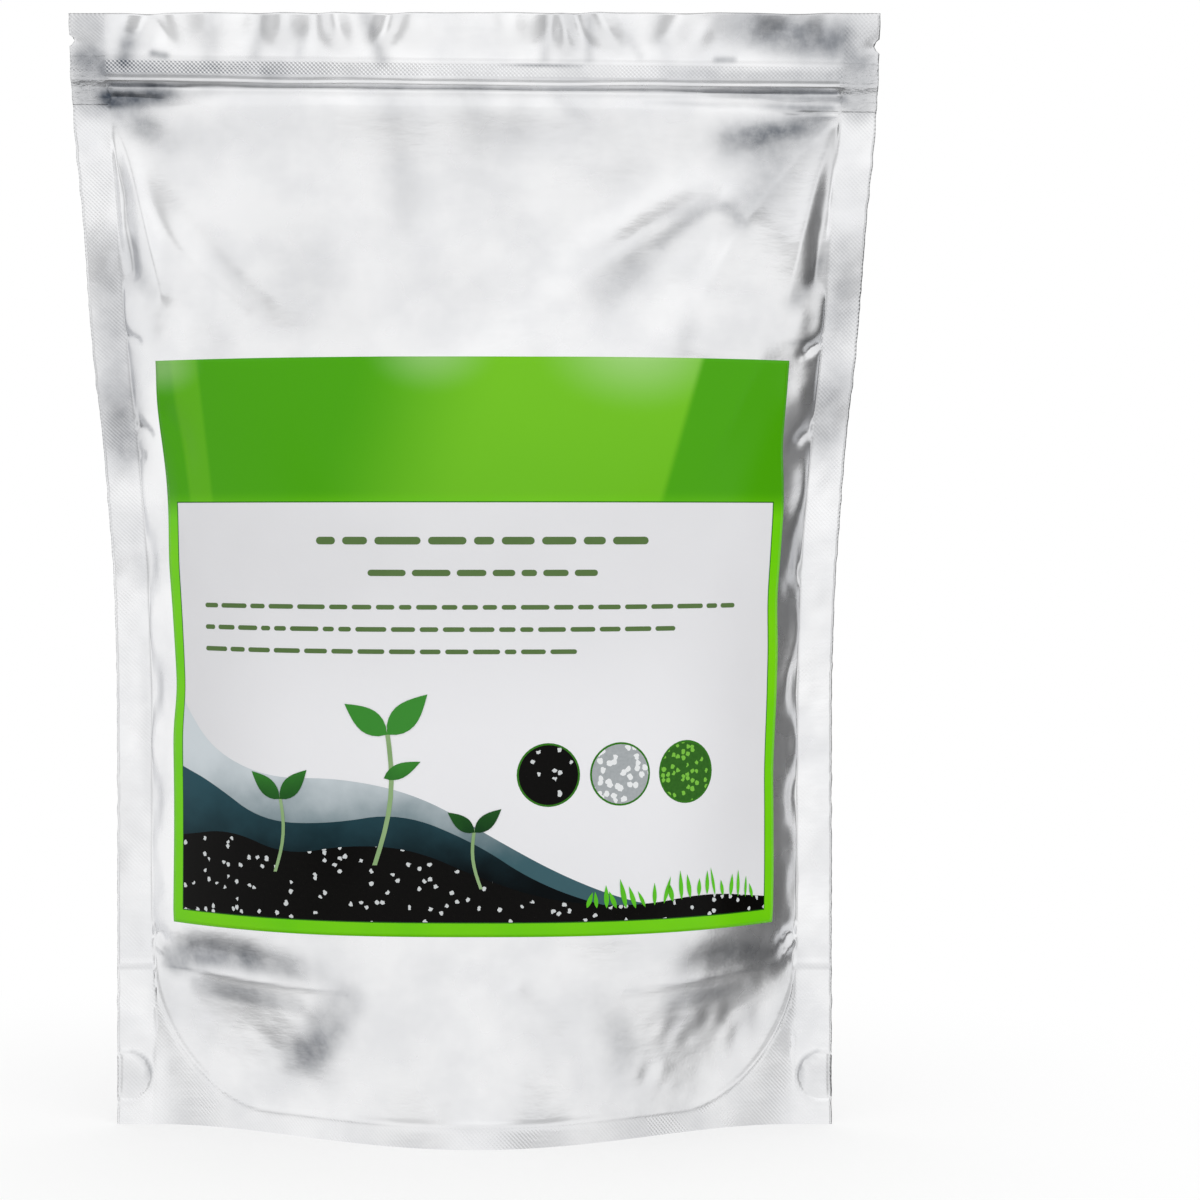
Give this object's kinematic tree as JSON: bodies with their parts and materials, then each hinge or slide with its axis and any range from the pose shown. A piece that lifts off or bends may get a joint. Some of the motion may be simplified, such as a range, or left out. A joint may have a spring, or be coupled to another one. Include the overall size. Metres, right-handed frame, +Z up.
{
  "type": "compost bag",
  "caption": "Filled stand-up foil pouch of potting compost, with a press-to-close zip, welded sides, a folded base and a printed label on the front.",
  "frame": {"origin": "on the ground, in the middle of the bag's bounding box across and in depth", "axes": "+Z up from the base to the mouth, +X across the bag to the right as seen from the front, -Y out of the front with the label"},
  "size_m": [0.2536, 0.093, 0.347],
  "materials": {
    "silver_foil": "satin metallised plastic film, softly reflective, with fine creases",
    "label_print": "semi-gloss printed label: pale panel, green header and border"
  },
  "bodies": {
    "root": {"pouch": "silver_foil", "front_label": "label_print"}
  },
  "joints": []
}
